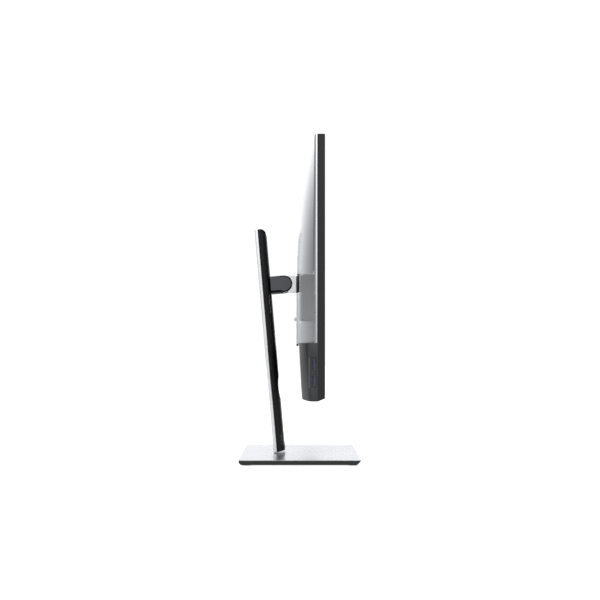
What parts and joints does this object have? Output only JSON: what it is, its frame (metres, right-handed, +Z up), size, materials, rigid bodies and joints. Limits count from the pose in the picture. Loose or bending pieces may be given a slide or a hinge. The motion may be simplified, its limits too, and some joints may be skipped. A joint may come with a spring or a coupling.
{
  "type": "computer monitor",
  "caption": "Flat widescreen monitor with a crowned silver back, on a leaning riser and flat base, with height, tilt, swivel and levelling motion.",
  "frame": {"origin": "centre of the base footprint, on the desk, under the rubber feet", "axes": "+Z up, the screen faces -Y, +X to the viewer's right, widest along X"},
  "size_m": [0.6112, 0.18, 0.4575],
  "materials": {
    "satin_silver": "satin, fine metallic flake",
    "brushed_silver": "satin, lightly blasted",
    "bright_rim": "polished",
    "charcoal": "fine spark texture",
    "graphite": "fine spark texture",
    "piano_black": "semi gloss",
    "soft_grey": "smooth matt",
    "rubber": "matt",
    "plain_steel": "rolled",
    "bright_steel": "ground",
    "dark_screw": "blackened",
    "natural_pom": "smooth",
    "brass_washer": "ground",
    "screen_glass": "anti-glare",
    "milk_acrylic": "diffusing",
    "board_green": "solder mask",
    "board_tan": "paper board",
    "tin_shell": "tinned",
    "usb_blue": "moulded",
    "lens_clear": "frosted"
  },
  "bodies": {
    "base": {"base_top_skin": "brushed_silver", "base_steel_plate": "plain_steel", "base_tray": "soft_grey", "rubber_feet": "rubber", "swivel_bush": "natural_pom", "base_screws": "dark_screw"},
    "riser": {"swivel_spindle": "bright_steel", "swivel_retainer": "bright_steel", "foot_pad": "brushed_silver", "foot_casting": "plain_steel", "base_thumbscrew": "bright_steel", "riser_front_cover": "piano_black", "riser_back_cover": "brushed_silver", "riser_spine": "plain_steel", "guide_rods": "bright_steel", "rod_blocks": "plain_steel", "cable_liner": "graphite", "lift_spring_band": "bright_steel", "riser_screws": "dark_screw"},
    "arm": {"arm_core": "piano_black", "arm_side_caps": "soft_grey", "carriage_block": "bright_steel", "slide_bushes": "natural_pom", "lift_spring_roll": "bright_steel", "tilt_washers": "brass_washer"},
    "head": {"tilt_head": "brushed_silver", "tilt_shaft": "bright_steel", "pivot_hub": "graphite", "pivot_nut": "bright_steel"},
    "panel": {"front_bezel": "charcoal", "lcd_cell": "screen_glass", "light_guide": "milk_acrylic", "led_bar": "milk_acrylic", "rear_chassis": "plain_steel", "rim_trim": "bright_rim", "rear_cover": "satin_silver", "lower_cover": "graphite", "vesa_frame": "plain_steel", "mount_bracket": "graphite", "board_shield": "tin_shell", "main_board": "board_green", "power_board": "board_tan", "io_plate": "graphite", "video_ports": "tin_shell", "data_ports": "tin_shell", "power_inlet": "piano_black", "side_usb_board": "board_green", "side_usb_ports": "tin_shell", "usb_tongues": "usb_blue", "key_board": "board_green", "power_lens": "lens_clear", "cover_screws": "dark_screw", "latch_cover": "satin_silver", "release_spring": "bright_steel"},
    "release_button": {"release_button": "satin_silver"},
    "power_button": {"power_button": "charcoal"},
    "menu_button_1": {"menu_button_1": "charcoal"},
    "menu_button_2": {"menu_button_2": "charcoal"},
    "menu_button_3": {"menu_button_3": "charcoal"},
    "menu_button_4": {"menu_button_4": "charcoal"}
  },
  "joints": [
    {"name": "swivel", "type": "hinge", "parent": "base", "child": "riser", "pos_m": [0, 0.0316, 0], "axis": [0, 0, 1], "range_deg": [-45, 45]},
    {"name": "height", "type": "slide", "parent": "riser", "child": "arm", "axis": [0, 0.0863, 0.9963], "range_m": [-0.063, 0.067], "deforming": ["lift_spring_band"]},
    {"name": "tilt", "type": "hinge", "parent": "arm", "child": "head", "pos_m": [0, 0.02464, 0.2738], "axis": [1, 0, 0], "range_deg": [-21, 5]},
    {"name": "pivot", "type": "hinge", "parent": "head", "child": "panel", "pos_m": [0, 0.00474, 0.2738], "axis": [0, 1, 0], "range_deg": [-6, 6]},
    {"name": "release_press", "type": "slide", "parent": "panel", "child": "release_button", "axis": [0, -1, 0], "range_m": [0, 0.002], "stiffness_N_per_m": 800, "springref_m": -0.001, "deforming": ["release_spring"]},
    {"name": "power_press", "type": "slide", "parent": "panel", "child": "power_button", "axis": [0, 0, 1], "range_m": [0, 0.0007], "stiffness_N_per_m": 600, "springref_m": -0.0005},
    {"name": "menu_1_press", "type": "slide", "parent": "panel", "child": "menu_button_1", "axis": [0, 0, 1], "range_m": [0, 0.0007], "stiffness_N_per_m": 600, "springref_m": -0.0005},
    {"name": "menu_2_press", "type": "slide", "parent": "panel", "child": "menu_button_2", "axis": [0, 0, 1], "range_m": [0, 0.0007], "stiffness_N_per_m": 600, "springref_m": -0.0005},
    {"name": "menu_3_press", "type": "slide", "parent": "panel", "child": "menu_button_3", "axis": [0, 0, 1], "range_m": [0, 0.0007], "stiffness_N_per_m": 600, "springref_m": -0.0005},
    {"name": "menu_4_press", "type": "slide", "parent": "panel", "child": "menu_button_4", "axis": [0, 0, 1], "range_m": [0, 0.0007], "stiffness_N_per_m": 600, "springref_m": -0.0005}
  ]
}
